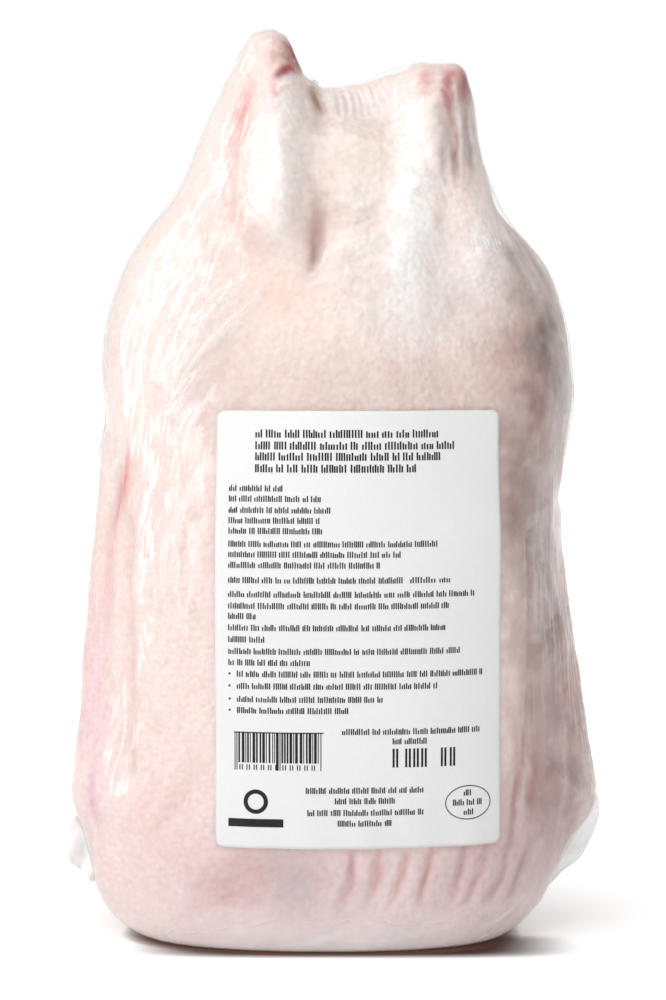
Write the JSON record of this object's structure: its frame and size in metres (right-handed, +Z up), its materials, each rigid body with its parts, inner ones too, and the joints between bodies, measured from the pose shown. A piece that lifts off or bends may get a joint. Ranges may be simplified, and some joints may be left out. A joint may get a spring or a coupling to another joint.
{
  "type": "frozen whole duck",
  "caption": "Frozen whole duck shrunk into a clear bag with a paper label on its breast, standing on its neck end with the leg ends up.",
  "frame": {"origin": "middle of the object's box on the surface that it stands on", "axes": "+Z up from the neck end to the leg ends, -Y towards the breast and its label, +X to the right as the label is read"},
  "size_m": [0.1924, 0.1004, 0.3272],
  "materials": {
    "duck_skin": "pale frozen poultry skin, smooth, pink to cream",
    "bag_film": "clear shrink film, high gloss, fine wrinkles",
    "label_paper": "white coated paper, satin",
    "label_ink": "black thermal print, matte"
  },
  "bodies": {
    "root": {"wrapped_duck": "duck_skin", "label": "label_paper"}
  },
  "joints": []
}
